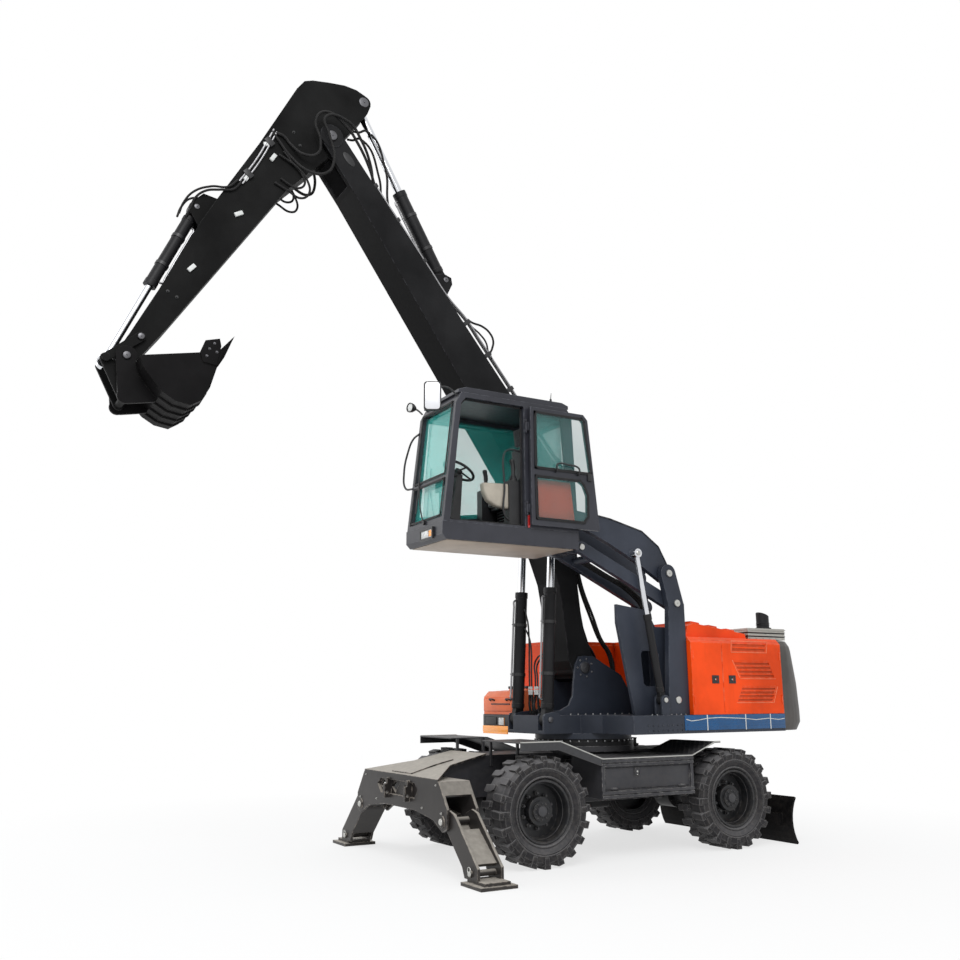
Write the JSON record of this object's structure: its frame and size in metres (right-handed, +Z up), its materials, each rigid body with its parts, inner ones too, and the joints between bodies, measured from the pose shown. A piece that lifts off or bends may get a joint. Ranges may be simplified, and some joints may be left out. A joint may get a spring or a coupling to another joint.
{
  "type": "wheeled material handler",
  "caption": "Wheeled material handler with a hydraulically raised cab, outriggers, a blade, and a cranked boom and stick carrying a bucket.",
  "frame": {"origin": "on the ground, under the middle of the whole box", "axes": "+X forward towards the outriggers, +Y to the driver's left, +Z up"},
  "size_m": [9.2617, 3.932, 9.5251],
  "materials": {
    "grey": "satin paint",
    "black": "satin paint",
    "steel": "machined",
    "chrome": "polished",
    "rim": "satin paint",
    "tyre": "matte",
    "orange": "gloss paint",
    "amber": "gloss",
    "glass": "clear, tinted",
    "lamp": "clear",
    "seat": "woven",
    "trim": "grained"
  },
  "bodies": {
    "chassis": {"frame": "grey", "front_axle": "black", "rear_axle": "black", "side_boxes": "black", "fender_decks": "black", "slew_ring": "steel", "outrigger_beam": "grey"},
    "leg_left": {"leg_l": "grey"},
    "leg_right": {"leg_r": "grey"},
    "blade": {"blade": "grey"},
    "blade_barrels": {"blade_barrels": "grey"},
    "blade_rods": {"blade_rods": "chrome"},
    "knuckle_left": {"knuckle_l": "black"},
    "knuckle_right": {"knuckle_r": "black"},
    "wheel_front_left": {"rim_fl": "rim", "tyre_fl": "tyre"},
    "wheel_front_right": {"rim_fr": "rim", "tyre_fr": "tyre"},
    "wheel_rear_left": {"rim_rl": "rim", "tyre_rl": "tyre"},
    "wheel_rear_right": {"rim_rr": "rim", "tyre_rr": "tyre"},
    "upper": {"upper_frame": "grey", "counterweight": "grey", "hood_left": "orange", "hood_right": "orange", "hood_top": "orange", "right_box": "orange", "upper_lamps": "amber", "engine": "grey", "muffler": "steel", "exhaust": "black", "tower": "black"},
    "boom": {"boom": "black"},
    "boom_barrels": {"boom_barrels": "black"},
    "boom_rods": {"boom_rods": "chrome"},
    "stick": {"stick": "black"},
    "stick_barrel": {"stick_barrel": "black"},
    "stick_rod": {"stick_rod": "chrome"},
    "bucket": {"bucket": "grey"},
    "rocker": {"rocker": "black"},
    "link": {"link": "black"},
    "bucket_barrel": {"bucket_barrel": "black"},
    "bucket_rod": {"bucket_rod": "chrome"},
    "lift_arm": {"lift_arm": "black"},
    "lift_link": {"lift_link": "black"},
    "lift_barrel": {"lift_barrel": "black"},
    "lift_rod": {"lift_rod": "chrome"},
    "cab": {"cab_floor": "black", "cab_shell": "black", "cab_roof": "black", "cab_glass": "glass", "cab_lamps": "lamp", "seat": "seat", "controls": "trim"},
    "door": {"door": "black", "door_glass": "glass"}
  },
  "joints": [
    {"name": "steer_left", "type": "hinge", "parent": "chassis", "child": "knuckle_left", "pos_m": [-0.24256, 0.79, 0.6], "axis": [0, 0, 1], "range_deg": [-30, 30]},
    {"name": "steer_right", "type": "hinge", "parent": "chassis", "child": "knuckle_right", "pos_m": [-0.24256, -0.79, 0.6], "axis": [0, 0, 1], "range_deg": [-30, 30]},
    {"name": "wheel_front_left_spin", "type": "hinge", "parent": "knuckle_left", "child": "wheel_front_left", "pos_m": [-0.24256, 1.02, 0.6], "axis": [0, 1, 0], "continuous": true},
    {"name": "wheel_front_right_spin", "type": "hinge", "parent": "knuckle_right", "child": "wheel_front_right", "pos_m": [-0.24256, -1.02, 0.6], "axis": [0, 1, 0], "continuous": true},
    {"name": "wheel_rear_left_spin", "type": "hinge", "parent": "chassis", "child": "wheel_rear_left", "pos_m": [-3.06256, 1.02, 0.6], "axis": [0, 1, 0], "continuous": true},
    {"name": "wheel_rear_right_spin", "type": "hinge", "parent": "chassis", "child": "wheel_rear_right", "pos_m": [-3.06256, -1.02, 0.6], "axis": [0, 1, 0], "continuous": true},
    {"name": "leg_left_swing", "type": "hinge", "parent": "chassis", "child": "leg_left", "pos_m": [0.79744, 1.1, 0.56], "axis": [1, 0, 0], "range_deg": [0, 50]},
    {"name": "leg_right_swing", "type": "hinge", "parent": "chassis", "child": "leg_right", "pos_m": [0.79744, -1.1, 0.56], "axis": [-1, 0, 0], "range_deg": [0, 50]},
    {"name": "blade_lift", "type": "hinge", "parent": "chassis", "child": "blade", "pos_m": [-3.41256, 0, 0.6], "axis": [0, 1, 0], "range_deg": [0, 28]},
    {"name": "blade_barrel_tilt", "type": "hinge", "parent": "chassis", "child": "blade_barrels", "pos_m": [-3.71256, 0, 0.96], "axis": [0, -1, 0], "range_deg": [-14.76, 0.5]},
    {"name": "blade_rod_slide", "type": "slide", "parent": "blade_barrels", "child": "blade_rods", "axis": [-0.1414, 0, -0.9899], "range_m": [-0.1892, 0.002]},
    {"name": "slew", "type": "hinge", "parent": "chassis", "child": "upper", "pos_m": [-1.63256, 0, 1.4], "axis": [0, 0, 1], "continuous": true},
    {"name": "boom_lift", "type": "hinge", "parent": "upper", "child": "boom", "pos_m": [-1.48356, 0, 2.208], "axis": [0, -1, 0], "range_deg": [-45, 8]},
    {"name": "boom_barrel_tilt", "type": "hinge", "parent": "upper", "child": "boom_barrels", "pos_m": [-0.85256, 0, 1.57], "axis": [0, -1, 0], "range_deg": [-36.93, 6.98]},
    {"name": "boom_rod_slide", "type": "slide", "parent": "boom_barrels", "child": "boom_rods", "axis": [-0.0537, 0, 0.9986], "range_m": [-0.5795, 0.1047]},
    {"name": "stick_swing", "type": "hinge", "parent": "boom", "child": "stick", "pos_m": [2.13283, 0, 8.70537], "axis": [0, 1, 0], "range_deg": [-70, 15]},
    {"name": "stick_barrel_tilt", "type": "hinge", "parent": "boom", "child": "stick_barrel", "pos_m": [0.44587, 0, 7.19403], "axis": [0, -1, 0], "range_deg": [-1.45, 0.7]},
    {"name": "stick_rod_slide", "type": "slide", "parent": "stick_barrel", "child": "stick_rod", "axis": [0.4946, 0, 0.8691], "range_m": [-0.8616, 0.1862]},
    {"name": "bucket_curl", "type": "hinge", "parent": "stick", "child": "bucket", "pos_m": [4.36552, 0, 5.43237], "axis": [0, 1, 0], "range_deg": [-130, 2]},
    {"name": "rocker_swing", "type": "hinge", "parent": "stick", "child": "rocker", "pos_m": [4.2244, 0, 5.68715], "axis": [0, -1, 0], "range_deg": [-1.95, 94.52]},
    {"name": "link_swing", "type": "hinge", "parent": "rocker", "child": "link", "pos_m": [4.56056, 0, 5.40199], "axis": [0, -1, 0], "range_deg": [-24.61, 0.87]},
    {"name": "bucket_barrel_tilt", "type": "hinge", "parent": "stick", "child": "bucket_barrel", "pos_m": [3.69432, 0, 7.41005], "axis": [0, -1, 0], "range_deg": [-0.64, 9.6]},
    {"name": "bucket_rod_slide", "type": "slide", "parent": "bucket_barrel", "child": "bucket_rod", "axis": [0.3961, 0, -0.9182], "range_m": [-0.5675, 0.0107]},
    {"name": "cab_lift", "type": "hinge", "parent": "upper", "child": "lift_arm", "pos_m": [-2.16256, 0, 3.358], "axis": [0, -1, 0], "range_deg": [-68, 0]},
    {"name": "cab_lift_link", "type": "hinge", "parent": "upper", "child": "lift_link", "pos_m": [-2.26856, 0, 2.987], "axis": [0, -1, 0], "range_deg": [-68.5, 0.5]},
    {"name": "cab_level", "type": "hinge", "parent": "lift_arm", "child": "cab", "pos_m": [-0.79454, 0, 3.99011], "axis": [0, -1, 0], "range_deg": [-0.5, 68.5]},
    {"name": "lift_barrel_tilt", "type": "hinge", "parent": "upper", "child": "lift_barrel", "pos_m": [-1.99256, 0, 1.8], "axis": [0, -1, 0], "range_deg": [-3.73, 0.5]},
    {"name": "lift_rod_slide", "type": "slide", "parent": "lift_barrel", "child": "lift_rod", "axis": [0.1678, 0, 0.9858], "range_m": [-0.59, 0.002]},
    {"name": "door_swing", "type": "hinge", "parent": "cab", "child": "door", "pos_m": [0.03946, 1.375, 3.74], "axis": [0, 0, -1], "range_deg": [0, 180]}
  ],
  "couplings": [
    {"joint": "steer_right", "follows": "steer_left", "ratio": 1},
    {"joint": "blade_barrel_tilt", "follows": "blade_lift", "ratio": -0.50935},
    {"joint": "blade_rod_slide", "follows": "blade_lift", "m_per_rad": -0.38312},
    {"joint": "boom_barrel_tilt", "follows": "boom_lift", "ratio": 0.80963},
    {"joint": "boom_rod_slide", "follows": "boom_lift", "m_per_rad": 0.73525},
    {"joint": "stick_barrel_tilt", "follows": "stick_swing", "ratio": 0.013627},
    {"joint": "stick_rod_slide", "follows": "stick_swing", "m_per_rad": 0.7036},
    {"joint": "rocker_swing", "follows": "bucket_curl", "ratio": -0.72327},
    {"joint": "link_swing", "follows": "bucket_curl", "ratio": 0.18548},
    {"joint": "bucket_barrel_tilt", "follows": "bucket_curl", "ratio": -0.07},
    {"joint": "bucket_rod_slide", "follows": "bucket_curl", "m_per_rad": 0.24924},
    {"joint": "cab_lift_link", "follows": "cab_lift", "ratio": 1},
    {"joint": "cab_level", "follows": "cab_lift", "ratio": -1},
    {"joint": "lift_barrel_tilt", "follows": "cab_lift", "ratio": 0.047428},
    {"joint": "lift_rod_slide", "follows": "cab_lift", "m_per_rad": 0.49545}
  ]
}
